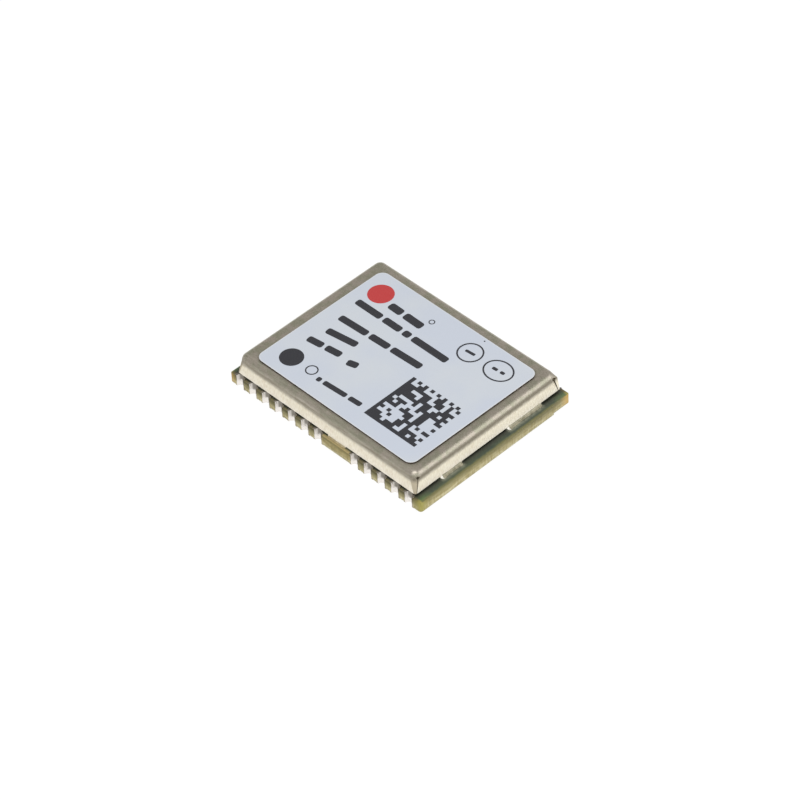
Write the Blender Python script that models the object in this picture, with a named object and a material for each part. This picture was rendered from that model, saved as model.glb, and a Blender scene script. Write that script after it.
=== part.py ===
# Surface-mount satellite receiver module: a green laminate board with half-round plated
# terminals along both long sides, a folded shield can soldered over it by six feet, and a
# film label on the can. The receiver circuit stands on the board under the can.
#
# The frame is metres, +Z up. X runs along the 16 mm side and Y along the 12.2 mm side.
# The origin is the middle of the footprint, on the plane that the terminals stand on.

from math import atan2, cos, pi, radians, sin

import bmesh
import bpy

MM = 0.001

# Gap between two pieces that are soldered or glued together, so that each stays one solid
SEAM = 0.015 * MM

# Board
BOARD_LENGTH = 16.0 * MM
BOARD_WIDTH = 12.2 * MM
BOARD_THICKNESS = 0.76 * MM
BOARD_CORNER_RADIUS = 0.2 * MM
# The board was snapped off its panel at two opposite corners, which stand back and are sharper
BREAK_STEP_DEPTH = 0.08 * MM
FAR_BREAK_STEP_DEPTH = 0.25 * MM
BREAK_STEP_LENGTH = 1.35 * MM
BREAK_CORNER_RADIUS = 0.05 * MM

# Terminals: plated half holes. The short group keeps to the +X end, and the long group takes
# what the board's length leaves beyond the gap that holds the can's side foot.
PITCH = 1.1 * MM
END_MARGIN = 1.0 * MM
SMALLEST_GROUP_GAP = 2.9 * MM
SHORT_GROUP = 5
NOTCH_RADIUS = 0.26 * MM
PLATING = 0.04 * MM
TOP_LAND_RIM = 0.1 * MM
LAND_SIDE_RIM = 0.1 * MM
LAND_DEPTH = 0.9 * MM
LAND_THICKNESS = 0.035 * MM

# Shield can, folded from one sheet
SHEET = 0.2 * MM
CAN_HEIGHT = 1.49 * MM
CAN_END_MARGIN = 0.7 * MM
CAN_SIDE_MARGIN = 0.3 * MM
CAN_BEND_RADIUS = 0.45 * MM
CAN_CORNER_RADIUS = 0.5 * MM
CAN_HEM_CORNER_RADIUS = 0.14 * MM
ROOM_HEM_CORNER_RADIUS = 0.05 * MM
WALL_FLARE = 0.1 * MM  # springback of the fold: the can is this much wider at its hem, each side
WINDOW_HEIGHT = 0.1 * MM
SLIT_WIDTH = 0.05 * MM
SLIT_TOP_INSET = 0.3 * MM
SLIT_HEM_INSET = 0.11 * MM
RELIEF_RADIUS = 0.09 * MM
RELIEF_RISE = 0.03 * MM

# Feet of the can: one on each long side between the two terminal groups, two on each end
SIDE_FOOT_CLEARANCE_LONG_GROUP = 0.275 * MM
SIDE_FOOT_CLEARANCE_SHORT_GROUP = 0.475 * MM
NARROW_FOOT_INSET = 1.875 * MM
NARROW_FOOT_WIDTH = 1.75 * MM
WIDE_FOOT_INSET = 1.475 * MM
WIDE_FOOT_WIDTH = 2.85 * MM

# Beads of solder along the feet
END_FILLET_WIDTH = 0.2 * MM
END_FILLET_HEIGHT = 0.16 * MM
SIDE_FILLET_WIDTH = 0.1 * MM
SIDE_FILLET_HEIGHT = 0.08 * MM
FILLET_TOE = 0.02 * MM
FILLET_END_INSET = 0.03 * MM
FILLET_END_SWELL = 0.3 * MM
FILLET_MIDDLE_FULLNESS = 0.72

# Label, laid on by hand: a little off centre and turned
LABEL_END_MARGIN = 0.375 * MM
LABEL_SIDE_MARGIN = 0.19 * MM
LABEL_THICKNESS = 0.07 * MM
LABEL_CORNER_RADIUS = 0.55 * MM
LABEL_SHIFT_X = 0.155 * MM
LABEL_SHIFT_Y = -0.19 * MM
LABEL_TURN = radians(-0.33)

# Circuit under the can
CIRCUIT_MARGIN = 0.45 * MM
CIRCUIT_GAP = 0.3 * MM
CHIP_SIDE_STEP = 1.0 * MM
CHIP_HEIGHT = 0.85 * MM
CHIP_CORNER_MARGIN = 0.5 * MM
CHIP_LEAD_PITCH = 0.5 * MM
CHIP_LEAD_WIDTH = 0.25 * MM
CRYSTAL_SIZE = (3.2 * MM, 2.5 * MM, 0.75 * MM)
CLOCK_CRYSTAL_SIZE = (3.2 * MM, 1.5 * MM, 0.8 * MM)
FILTER_SIZE = (1.4 * MM, 1.1 * MM, 0.6 * MM)
AMPLIFIER_SIZE = (1.5 * MM, 1.0 * MM, 0.55 * MM)
REGULATOR_SIZE = (1.6 * MM, 1.2 * MM, 0.6 * MM)
SMALL_LEAD_PITCH = 0.5 * MM
SMALL_LEAD_WIDTH = 0.22 * MM
LEAD_HEIGHT = 0.2 * MM
LEAD_REACH = 0.06 * MM
PACKAGE_EDGE = 0.06 * MM
LID_INSET = 0.15 * MM
LID_HEIGHT = 0.3 * MM
INDUCTOR_DIAMETER = 1.9 * MM
INDUCTOR_HEIGHT = 1.0 * MM
INDUCTOR_WAIST_DIAMETER = 1.5 * MM
INDUCTOR_FLANGE = 0.25 * MM
CAPACITOR_SIZE = (1.0 * MM, 0.5 * MM, 0.5 * MM)
RESISTOR_SIZE = (1.0 * MM, 0.5 * MM, 0.35 * MM)
RESISTOR_GAP = 0.15 * MM
CAPACITOR_COUNT = 5
SIDE_CAPACITOR_COUNT = 4
RESISTOR_COUNT = 6
CHIP_CAP_LENGTH = 0.25 * MM
CHIP_CAP_STEP = 0.025 * MM

# Facets
NOTCH_STEPS = 8
CORNER_STEPS = 7
BEND_STEPS = 7
ROUND_STEPS = 20

# Levels and faces that follow from the sizes above
BOARD_BOTTOM = LAND_THICKNESS + SEAM
BOARD_TOP = BOARD_BOTTOM + BOARD_THICKNESS
SOLDER_LEVEL = BOARD_TOP + SEAM
CAN_TOP = SOLDER_LEVEL + CAN_HEIGHT
WALL_BOTTOM = SOLDER_LEVEL + WINDOW_HEIGHT
CAN_HALF_LENGTH = BOARD_LENGTH / 2 - CAN_END_MARGIN
CAN_HALF_WIDTH = BOARD_WIDTH / 2 - CAN_SIDE_MARGIN
HEM_HALF_LENGTH = CAN_HALF_LENGTH + WALL_FLARE
HEM_HALF_WIDTH = CAN_HALF_WIDTH + WALL_FLARE
WALL_SLOPE = WALL_FLARE / (CAN_HEIGHT - CAN_BEND_RADIUS)
ROOM_HALF_LENGTH = CAN_HALF_LENGTH - SHEET
ROOM_HALF_WIDTH = CAN_HALF_WIDTH - SHEET
BARREL_RADIUS = NOTCH_RADIUS + PLATING
PITCHES = int((BOARD_LENGTH - 2 * END_MARGIN - SMALLEST_GROUP_GAP) / PITCH)
LONG_GROUP = PITCHES - (SHORT_GROUP - 1) + 1
LONG_GROUP_X = [-BOARD_LENGTH / 2 + END_MARGIN + i * PITCH for i in range(LONG_GROUP)]
SHORT_GROUP_X = [BOARD_LENGTH / 2 - END_MARGIN - i * PITCH for i in reversed(range(SHORT_GROUP))]
TERMINAL_X = LONG_GROUP_X + SHORT_GROUP_X
TOP_LAND_RADIUS = BARREL_RADIUS + TOP_LAND_RIM
SIDE_FOOT_START = LONG_GROUP_X[-1] + TOP_LAND_RADIUS + SIDE_FOOT_CLEARANCE_LONG_GROUP
SIDE_FOOT_END = SHORT_GROUP_X[0] - TOP_LAND_RADIUS - SIDE_FOOT_CLEARANCE_SHORT_GROUP
SIDE_FOOT_SPAN = (SIDE_FOOT_START, SIDE_FOOT_END)
NARROW_FOOT_START = NARROW_FOOT_INSET - CAN_HALF_WIDTH
WIDE_FOOT_END = CAN_HALF_WIDTH - WIDE_FOOT_INSET
END_FOOT_SPANS = [
    (NARROW_FOOT_START, NARROW_FOOT_START + NARROW_FOOT_WIDTH),
    (WIDE_FOOT_END - WIDE_FOOT_WIDTH, WIDE_FOOT_END),
]


def make_material(name, colour, roughness, metallic=0.0):
    material = bpy.data.materials.new(name)
    material.use_nodes = True
    shader = material.node_tree.nodes["Principled BSDF"]
    shader.inputs["Base Color"].default_value = (*colour, 1.0)
    shader.inputs["Roughness"].default_value = roughness
    shader.inputs["Metallic"].default_value = metallic
    return material


def add_object(name, mesh, material=None):
    obj = bpy.data.objects.new(name, mesh)
    bpy.context.scene.collection.objects.link(obj)
    if material:
        mesh.materials.clear()
        mesh.materials.append(material)
    return obj


def finish_mesh(name, bm, smooth_angle=radians(30)):
    # Welds, turns every face outward, and shades round stretches smooth
    bmesh.ops.remove_doubles(bm, verts=bm.verts, dist=1e-8)
    bmesh.ops.recalc_face_normals(bm, faces=bm.faces)
    mesh = bpy.data.meshes.new(name)
    bm.to_mesh(mesh)
    bm.free()
    mesh.shade_smooth()
    mesh.set_sharp_from_angle(angle=smooth_angle)
    return mesh


def loft(name, loops):
    # Skins a row of loops that have the same number of points, and closes both ends
    bm = bmesh.new()
    rows = [[bm.verts.new(point) for point in loop] for loop in loops]
    count = len(rows[0])
    for lower, upper in zip(rows, rows[1:]):
        for i in range(count):
            j = (i + 1) % count
            bm.faces.new((lower[i], lower[j], upper[j], upper[i]))
    bm.faces.new(reversed(rows[0]))
    bm.faces.new(rows[-1])
    return finish_mesh(name, bm)


def prism(name, outline, bottom, top):
    # Extrudes a flat outline of (x, y) points from one level to another
    return loft(name, [[(x, y, z) for x, y in outline] for z in (bottom, top)])


def box(name, low, high):
    outline = [(low[0], low[1]), (high[0], low[1]), (high[0], high[1]), (low[0], high[1])]
    return prism(name, outline, low[2], high[2])


def arc(centre_x, centre_y, radius, start, end, steps):
    angles = [start + (end - start) * i / steps for i in range(steps + 1)]
    return [(centre_x + radius * cos(a), centre_y + radius * sin(a)) for a in angles]


def rounded_rectangle(half_length, half_width, radius, steps=CORNER_STEPS):
    # Counter-clockwise from the corner at -X and -Y
    corners = [(-1, -1, pi), (1, -1, 1.5 * pi), (1, 1, 0.0), (-1, 1, 0.5 * pi)]
    points = []
    for side_x, side_y, start in corners:
        centre_x = side_x * (half_length - radius)
        centre_y = side_y * (half_width - radius)
        points += arc(centre_x, centre_y, radius, start, start + pi / 2, steps)
    return points


def circle(radius, z, steps=ROUND_STEPS):
    return [(radius * cos(2 * pi * i / steps), radius * sin(2 * pi * i / steps), z)
            for i in range(steps)]


def join_meshes(name, meshes):
    bm = bmesh.new()
    for mesh in meshes:
        bm.from_mesh(mesh)
        bpy.data.meshes.remove(mesh)
    return finish_mesh(name, bm)


def add_helper(name, mesh):
    # A shape that only cuts or joins another one
    helper = add_object(name, mesh)
    helper.hide_render = True
    helper.display_type = "WIRE"
    return helper


def add_boolean(obj, helper, operation):
    modifier = obj.modifiers.new(helper.name, "BOOLEAN")
    modifier.operation = operation
    modifier.solver = "EXACT"
    modifier.object = helper


def board_outline():
    half_length = BOARD_LENGTH / 2
    half_width = BOARD_WIDTH / 2
    corner = BOARD_CORNER_RADIUS
    broken = BREAK_CORNER_RADIUS
    notch = BARREL_RADIUS + SEAM
    stepped_edge = half_length - BREAK_STEP_DEPTH
    far_edge = FAR_BREAK_STEP_DEPTH - half_length
    step_start = half_width - BREAK_STEP_LENGTH
    points = arc(far_edge + broken, broken - half_width, broken, pi, 1.5 * pi, CORNER_STEPS)
    for x in TERMINAL_X:
        points += arc(x, -half_width, notch, pi, 0.0, NOTCH_STEPS)
    points += arc(half_length - corner, corner - half_width, corner, 1.5 * pi, 2 * pi, CORNER_STEPS)
    points += [(half_length, step_start), (stepped_edge, step_start + BREAK_STEP_DEPTH)]
    points += arc(stepped_edge - broken, half_width - broken, broken, 0.0, pi / 2, CORNER_STEPS)
    for x in reversed(TERMINAL_X):
        points += arc(x, half_width, notch, 2 * pi, pi, NOTCH_STEPS)
    points += arc(corner - half_length, half_width - corner, corner, pi / 2, pi, CORNER_STEPS)
    points += [(-half_length, FAR_BREAK_STEP_DEPTH - step_start), (far_edge, -step_start)]
    return points


def build_board(material):
    mesh = prism("circuit_board", board_outline(), BOARD_BOTTOM, BOARD_TOP)
    add_object("circuit_board", mesh, material)


def terminal_mesh():
    # A half barrel that lines the notch, with a rim on the board's top and a long land below.
    # It is made round the notch's axis, with +Y running into the board.
    half_land = BARREL_RADIUS + LAND_SIDE_RIM
    land_corner = atan2(LAND_DEPTH, half_land)
    angles = [pi * i / NOTCH_STEPS for i in range(NOTCH_STEPS + 1)]
    angles = sorted(angles + [land_corner, pi - land_corner])
    top = SOLDER_LEVEL + LAND_THICKNESS
    loops = []
    for angle in angles:
        across = abs(cos(angle))
        along = sin(angle)
        if along * half_land > across * LAND_DEPTH:
            land_reach = LAND_DEPTH / along
        else:
            land_reach = half_land / across
        section = [
            (NOTCH_RADIUS, 0.0),
            (NOTCH_RADIUS, top),
            (TOP_LAND_RADIUS, top),
            (TOP_LAND_RADIUS, SOLDER_LEVEL),
            (BARREL_RADIUS, SOLDER_LEVEL),
            (BARREL_RADIUS, LAND_THICKNESS),
            (land_reach, LAND_THICKNESS),
            (land_reach, 0.0),
        ]
        loops.append([(r * cos(angle), r * along, z) for r, z in section])
    return loft("terminal", loops)


def build_terminals(material):
    # Numbered along the -Y side from -X, then back along the +Y side
    mesh = terminal_mesh()
    sides = [(TERMINAL_X, -BOARD_WIDTH / 2, 0.0), (TERMINAL_X[::-1], BOARD_WIDTH / 2, pi)]
    number = 1
    for row, y, turn in sides:
        for x in row:
            obj = add_object(f"terminal_{number:02d}", mesh, material)
            obj.location = (x, y, 0.0)
            obj.rotation_euler = (0.0, 0.0, turn)
            number += 1


def can_loops(half_length, half_width, hem_radius, corner_radius, top, bend_radius):
    # One skin of the can from its hem up: straight wall, then the bend into the top. The
    # wall leans in from its hem, and the corner is sharp at the hem and round at the bend.
    loops = []
    hem = rounded_rectangle(half_length + WALL_FLARE, half_width + WALL_FLARE, hem_radius)
    loops.append([(x, y, SOLDER_LEVEL) for x, y in hem])
    for i in range(BEND_STEPS + 1):
        angle = pi / 2 * i / BEND_STEPS
        inset = bend_radius * (1 - cos(angle))
        z = top - bend_radius * (1 - sin(angle))
        outline = rounded_rectangle(half_length - inset, half_width - inset, corner_radius - inset)
        loops.append([(x, y, z) for x, y in outline])
    return loops


def can_shell_mesh():
    # The outer skin up from the hem, and the inner skin back down to it
    outer = can_loops(CAN_HALF_LENGTH, CAN_HALF_WIDTH, CAN_HEM_CORNER_RADIUS,
                      CAN_CORNER_RADIUS, CAN_TOP, CAN_BEND_RADIUS)
    inner = can_loops(ROOM_HALF_LENGTH, ROOM_HALF_WIDTH, ROOM_HEM_CORNER_RADIUS,
                      CAN_CORNER_RADIUS - SHEET, CAN_TOP - SHEET, CAN_BEND_RADIUS - SHEET)
    bm = bmesh.new()
    skins = []
    for loops in (outer, inner):
        rows = [[bm.verts.new(point) for point in loop] for loop in loops]
        for lower, upper in zip(rows, rows[1:]):
            for i in range(len(lower)):
                j = (i + 1) % len(lower)
                bm.faces.new((lower[i], lower[j], upper[j], upper[i]))
        bm.faces.new(rows[-1])
        skins.append(rows)
    outer_hem = skins[0][0]
    inner_hem = skins[1][0]
    for i in range(len(outer_hem)):
        j = (i + 1) % len(outer_hem)
        bm.faces.new((outer_hem[i], inner_hem[i], inner_hem[j], outer_hem[j]))
    return finish_mesh("shield_can", bm)


def windows_mesh():
    # All that lies below the wall's edge apart from the feet: a slab with a bite for each foot
    reach = CAN_END_MARGIN
    half_length = CAN_HALF_LENGTH + reach
    half_width = CAN_HALF_WIDTH + reach
    bite = reach + 2 * SHEET
    start, end = SIDE_FOOT_SPAN
    outline = [(-half_length, -half_width)]
    outline += [(start, -half_width), (start, bite - half_width),
                (end, bite - half_width), (end, -half_width)]
    outline.append((half_length, -half_width))
    for low, high in END_FOOT_SPANS:
        outline += [(half_length, low), (half_length - bite, low),
                    (half_length - bite, high), (half_length, high)]
    outline.append((half_length, half_width))
    outline += [(end, half_width), (end, half_width - bite),
                (start, half_width - bite), (start, half_width)]
    outline.append((-half_length, half_width))
    for low, high in reversed(END_FOOT_SPANS):
        outline += [(-half_length, high), (bite - half_length, high),
                    (bite - half_length, low), (-half_length, low)]
    return prism("can_windows", outline, BOARD_BOTTOM, WALL_BOTTOM)


def slit_mesh(side_x, side_y, top):
    # A thin slab that parts the end wall from the side wall, and leans towards the corner
    inner = side_x * (ROOM_HALF_LENGTH - SLIT_WIDTH)
    outer = side_x * (HEM_HALF_LENGTH + SHEET)
    loops = []
    for z, middle in [(BOARD_TOP, HEM_HALF_WIDTH - SLIT_HEM_INSET),
                      (top, CAN_HALF_WIDTH - SLIT_TOP_INSET)]:
        low = side_y * middle - SLIT_WIDTH / 2
        high = low + SLIT_WIDTH
        loops.append([(inner, low, z), (outer, low, z), (outer, high, z), (inner, high, z)])
    return loft("slit", loops)


def relief_mesh(side_x, side_y, level):
    # A round hole along X through the end wall, where the slit ends
    turns = [2 * pi * (i + 0.5) / ROUND_STEPS for i in range(ROUND_STEPS)]
    middle = side_y * (CAN_HALF_WIDTH - SLIT_TOP_INSET)
    loops = [[(side_x * x, middle + RELIEF_RADIUS * cos(a), level + RELIEF_RADIUS * sin(a))
              for a in turns] for x in (CAN_HALF_LENGTH - 2 * SHEET, CAN_HALF_LENGTH + SHEET)]
    return loft("relief", loops)


def build_can(material):
    can = add_object("shield_can", can_shell_mesh(), material)
    add_boolean(can, add_helper("can_windows", windows_mesh()), "DIFFERENCE")
    relief_level = CAN_TOP - CAN_BEND_RADIUS + RELIEF_RISE
    corners = [(side_x, side_y) for side_x in (-1, 1) for side_y in (-1, 1)]
    slits = join_meshes("can_slits", [slit_mesh(x, y, relief_level) for x, y in corners])
    reliefs = join_meshes("can_reliefs", [relief_mesh(x, y, relief_level) for x, y in corners])
    add_boolean(can, add_helper("can_slits", slits), "DIFFERENCE")
    add_boolean(can, add_helper("can_reliefs", reliefs), "DIFFERENCE")


def fillet_mesh(name, length, full_width, full_height):
    # A bead of solder along X against a wall that leans in from y = 0: a hollow slope, fuller
    # at both ends
    half = length / 2
    swell = min(FILLET_END_SWELL, half / 2)
    end = [(half, 0.5), (half - swell / 4, 0.85), (half - swell / 2, 1.0), (half - swell, 0.85)]
    middle = [(0.0, FILLET_MIDDLE_FULLNESS)]
    stations = [(-x, fullness) for x, fullness in end] + middle + end[::-1]
    loops = []
    for x, fullness in stations:
        width = full_width * fullness
        height = full_height * fullness
        slope = [(width * (1 - i / 4) ** 2, FILLET_TOE + (height - FILLET_TOE) * (i / 4) ** 2)
                 for i in range(5)]
        section = [(0.0, 0.0), (width, 0.0)] + slope
        loops.append([(x, WALL_SLOPE * z - y, z) for y, z in section])
    return loft(name, loops)


def build_fillets(material):
    # Numbered round the can from the foot on the -Y side
    side_size = (SIDE_FILLET_WIDTH, SIDE_FILLET_HEIGHT)
    end_size = (END_FILLET_WIDTH, END_FILLET_HEIGHT)
    side_wall = HEM_HALF_WIDTH + SEAM
    end_wall = HEM_HALF_LENGTH + SEAM
    middle = sum(SIDE_FOOT_SPAN) / 2
    places = [((middle, -side_wall), 0.0, SIDE_FOOT_SPAN, side_size)]
    places += [((end_wall, sum(span) / 2), pi / 2, span, end_size) for span in END_FOOT_SPANS]
    places.append(((middle, side_wall), pi, SIDE_FOOT_SPAN, side_size))
    places += [((-end_wall, sum(span) / 2), -pi / 2, span, end_size)
               for span in reversed(END_FOOT_SPANS)]
    for number, (place, turn, span, size) in enumerate(places, 1):
        name = f"solder_fillet_{number}"
        length = span[1] - span[0] - 2 * FILLET_END_INSET
        obj = add_object(name, fillet_mesh(name, length, *size), material)
        obj.location = (*place, SOLDER_LEVEL)
        obj.rotation_euler = (0.0, 0.0, turn)


def build_label(material):
    half_length = CAN_HALF_LENGTH - CAN_BEND_RADIUS - LABEL_END_MARGIN
    half_width = CAN_HALF_WIDTH - CAN_BEND_RADIUS - LABEL_SIDE_MARGIN
    outline = rounded_rectangle(half_length, half_width, LABEL_CORNER_RADIUS)
    label = add_object("label", prism("label", outline, 0.0, LABEL_THICKNESS), material)
    label.location = (LABEL_SHIFT_X, LABEL_SHIFT_Y, CAN_TOP + SEAM)
    label.rotation_euler = (0.0, 0.0, LABEL_TURN)


def chip_component(name, size, material, place, turned=False):
    # A ceramic block with a raised metal cap over each end
    length, width, height = size
    stations = [(-length / 2, 0.0), (CHIP_CAP_LENGTH - length / 2, 0.0),
                (CHIP_CAP_LENGTH - length / 2, CHIP_CAP_STEP),
                (length / 2 - CHIP_CAP_LENGTH, CHIP_CAP_STEP),
                (length / 2 - CHIP_CAP_LENGTH, 0.0), (length / 2, 0.0)]
    loops = []
    for x, step in stations:
        half = width / 2 - step
        loops.append([(x, -half, step), (x, half, step), (x, half, height - step),
                      (x, -half, height - step)])
    obj = add_object(name, loft(name, loops), material)
    obj.location = (*place, SOLDER_LEVEL)
    obj.rotation_euler = (0.0, 0.0, pi / 2 if turned else 0.0)


def lidded_package(name, size, material, place):
    # A ceramic base with a smaller metal lid seamed on top
    length, width, height = size
    base = height - LID_HEIGHT
    half_length = length / 2
    half_width = width / 2
    levels = [(0.0, 0.0), (base, 0.0), (base, LID_INSET), (height - PACKAGE_EDGE, LID_INSET),
              (height, LID_INSET + PACKAGE_EDGE)]
    corner = LID_INSET + 2 * PACKAGE_EDGE
    loops = []
    for z, inset in levels:
        outline = rounded_rectangle(half_length - inset, half_width - inset, corner - inset, 3)
        loops.append([(x, y, z) for x, y in outline])
    obj = add_object(name, loft(name, loops), material)
    obj.location = (*place, SOLDER_LEVEL)


def leaded_package(name, size, material, place, leads, pitch, lead_width, all_sides):
    # A moulded body with a bevelled top, and flat leads that show along the foot of its sides
    length, width, height = size
    half_length = length / 2
    half_width = width / 2
    levels = [(0.0, 0.0), (height - PACKAGE_EDGE, 0.0), (height, PACKAGE_EDGE)]
    loops = []
    for z, inset in levels:
        x = half_length - inset
        y = half_width - inset
        loops.append([(-x, -y, z), (x, -y, z), (x, y, z), (-x, y, z)])
    obj = add_object(name, loft(name, loops), material)
    offsets = [(i - (leads - 1) / 2) * pitch for i in range(leads)]
    bars = []
    for offset in offsets:
        low = offset - lead_width / 2
        high = offset + lead_width / 2
        for side in (-1, 1):
            near, far = sorted((side * (half_width - LEAD_REACH), side * (half_width + LEAD_REACH)))
            bars.append(box("lead", (low, near, 0.0), (high, far, LEAD_HEIGHT)))
            if all_sides:
                near, far = sorted((side * (half_length - LEAD_REACH),
                                    side * (half_length + LEAD_REACH)))
                bars.append(box("lead", (near, low, 0.0), (far, high, LEAD_HEIGHT)))
    leads_helper = add_helper(name + "_leads", join_meshes(name + "_leads", bars))
    add_boolean(obj, leads_helper, "UNION")
    for part in (obj, leads_helper):
        part.location = (*place, SOLDER_LEVEL)


def build_inductor(material, place):
    # A wound drum core: two flanges with a waist between them
    radius = INDUCTOR_DIAMETER / 2
    waist = INDUCTOR_WAIST_DIAMETER / 2
    edge = PACKAGE_EDGE
    profile = [(radius - edge, 0.0), (radius, edge), (radius, INDUCTOR_FLANGE),
               (waist, INDUCTOR_FLANGE), (waist, INDUCTOR_HEIGHT - INDUCTOR_FLANGE),
               (radius, INDUCTOR_HEIGHT - INDUCTOR_FLANGE), (radius, INDUCTOR_HEIGHT - edge),
               (radius - edge, INDUCTOR_HEIGHT)]
    mesh = loft("power_inductor", [circle(r, z) for r, z in profile])
    obj = add_object("power_inductor", mesh, material)
    obj.location = (*place, SOLDER_LEVEL)


def build_circuit(materials):
    # The receiver chip keeps to the +X end of the room under the can, the crystals and the
    # antenna input to the -X end, and the small chips line up beside the receiver chip. It is
    # the largest square package, in whole millimetres, that the rest leaves room for.
    right = ROOM_HALF_LENGTH - CIRCUIT_MARGIN
    left = -right
    back = ROOM_HALF_WIDTH - CIRCUIT_MARGIN
    front = -back
    capacitor_length, capacitor_width, _ = CAPACITOR_SIZE
    resistor_length, resistor_width, _ = RESISTOR_SIZE
    regulator_length, regulator_width, _ = REGULATOR_SIZE
    regulator_reach = regulator_width / 2 + LEAD_REACH
    input_length = FILTER_SIZE[0] + CIRCUIT_GAP + AMPLIFIER_SIZE[0]
    left_column = max(CRYSTAL_SIZE[0], CLOCK_CRYSTAL_SIZE[0], input_length, INDUCTOR_DIAMETER)
    room_length = right - left - left_column - resistor_width - 2 * CIRCUIT_GAP
    room_width = back - front - capacitor_width - 2 * regulator_reach - 2 * CIRCUIT_GAP
    room_for_body = min(room_length, room_width) - 2 * LEAD_REACH
    chip_side = int(room_for_body / CHIP_SIDE_STEP) * CHIP_SIDE_STEP
    chip_reach = chip_side / 2 + LEAD_REACH
    chip_x = right - chip_reach
    leads = int((chip_side - 2 * CHIP_CORNER_MARGIN) / CHIP_LEAD_PITCH)
    leaded_package("receiver_chip", (chip_side, chip_side, CHIP_HEIGHT), materials["moulded"],
                   (chip_x, front + chip_reach), leads, CHIP_LEAD_PITCH, CHIP_LEAD_WIDTH, True)

    crystal_y = back - CRYSTAL_SIZE[1] / 2
    lidded_package("reference_crystal", CRYSTAL_SIZE, materials["lid"],
                   (left + CRYSTAL_SIZE[0] / 2, crystal_y))
    clock_y = crystal_y - CRYSTAL_SIZE[1] / 2 - CIRCUIT_GAP - CLOCK_CRYSTAL_SIZE[1] / 2
    lidded_package("clock_crystal", CLOCK_CRYSTAL_SIZE, materials["lid"],
                   (left + CLOCK_CRYSTAL_SIZE[0] / 2, clock_y))

    lidded_package("antenna_filter", FILTER_SIZE, materials["lid"],
                   (left + FILTER_SIZE[0] / 2, front + FILTER_SIZE[1] / 2))
    amplifier_x = left + FILTER_SIZE[0] + CIRCUIT_GAP + AMPLIFIER_SIZE[0] / 2
    amplifier_y = front + LEAD_REACH + AMPLIFIER_SIZE[1] / 2
    leaded_package("antenna_amplifier", AMPLIFIER_SIZE, materials["moulded"],
                   (amplifier_x, amplifier_y), 3, SMALL_LEAD_PITCH, SMALL_LEAD_WIDTH, False)
    input_width = max(FILTER_SIZE[1], AMPLIFIER_SIZE[1] + 2 * LEAD_REACH)
    inductor_y = front + input_width + CIRCUIT_GAP + INDUCTOR_DIAMETER / 2
    build_inductor(materials["ferrite"], (left + INDUCTOR_DIAMETER / 2, inductor_y))

    row_y = back - capacitor_width / 2
    regulator_y = row_y - capacitor_width / 2 - CIRCUIT_GAP - regulator_reach
    leaded_package("voltage_regulator", REGULATOR_SIZE, materials["moulded"],
                   (right - regulator_length / 2, regulator_y), 3, SMALL_LEAD_PITCH,
                   SMALL_LEAD_WIDTH, False)
    beside = right - regulator_length - CIRCUIT_GAP
    rows = [(right, row_y, CAPACITOR_COUNT), (beside, regulator_y, SIDE_CAPACITOR_COUNT)]
    number = 1
    for start, y, count in rows:
        for i in range(count):
            x = start - capacitor_length / 2 - i * (capacitor_length + CIRCUIT_GAP)
            chip_component(f"capacitor_{number}", CAPACITOR_SIZE, materials["capacitor"], (x, y))
            number += 1
    column_x = left + left_column + CIRCUIT_GAP + resistor_width / 2
    for i in range(RESISTOR_COUNT):
        y = front + resistor_length / 2 + i * (resistor_length + RESISTOR_GAP)
        chip_component(f"resistor_{i + 1}", RESISTOR_SIZE, materials["resistor"],
                       (column_x, y), turned=True)


def build():
    for obj in list(bpy.data.objects):
        bpy.data.objects.remove(obj)
    build_board(make_material("laminate", (0.33, 0.29, 0.13), 0.6))
    build_terminals(make_material("plated_terminal", (0.78, 0.75, 0.72), 0.3, 1.0))
    build_can(make_material("tinned_sheet", (0.62, 0.57, 0.48), 0.35, 1.0))
    build_fillets(make_material("solder", (0.75, 0.75, 0.76), 0.25, 1.0))
    build_label(make_material("label_film", (0.62, 0.66, 0.74), 0.4))
    build_circuit({
        "moulded": make_material("moulded_epoxy", (0.02, 0.02, 0.022), 0.55),
        "lid": make_material("crystal_lid", (0.7, 0.66, 0.55), 0.3, 1.0),
        "ferrite": make_material("ferrite", (0.06, 0.06, 0.065), 0.7),
        "capacitor": make_material("capacitor_ceramic", (0.36, 0.24, 0.14), 0.6),
        "resistor": make_material("resistor_glaze", (0.03, 0.03, 0.035), 0.4),
    })


build()
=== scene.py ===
import random
from math import pi, radians

import bpy
from mathutils import Matrix, Vector


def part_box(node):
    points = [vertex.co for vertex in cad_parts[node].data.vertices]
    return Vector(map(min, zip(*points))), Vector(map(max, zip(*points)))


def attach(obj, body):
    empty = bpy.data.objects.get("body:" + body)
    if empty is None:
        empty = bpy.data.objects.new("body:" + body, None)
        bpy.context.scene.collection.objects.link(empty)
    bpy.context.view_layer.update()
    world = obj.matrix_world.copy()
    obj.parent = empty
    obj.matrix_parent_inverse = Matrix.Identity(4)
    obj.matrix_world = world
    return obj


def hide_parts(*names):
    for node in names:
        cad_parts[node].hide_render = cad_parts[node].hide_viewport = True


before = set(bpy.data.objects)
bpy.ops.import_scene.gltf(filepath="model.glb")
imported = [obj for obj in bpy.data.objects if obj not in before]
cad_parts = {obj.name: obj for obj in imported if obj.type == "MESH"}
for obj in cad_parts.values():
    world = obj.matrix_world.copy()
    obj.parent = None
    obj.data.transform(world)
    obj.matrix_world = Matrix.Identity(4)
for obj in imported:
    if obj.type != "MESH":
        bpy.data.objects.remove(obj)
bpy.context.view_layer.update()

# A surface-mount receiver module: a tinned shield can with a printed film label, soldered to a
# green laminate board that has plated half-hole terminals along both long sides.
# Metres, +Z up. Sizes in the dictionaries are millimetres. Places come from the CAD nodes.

mm = 0.001

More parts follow.
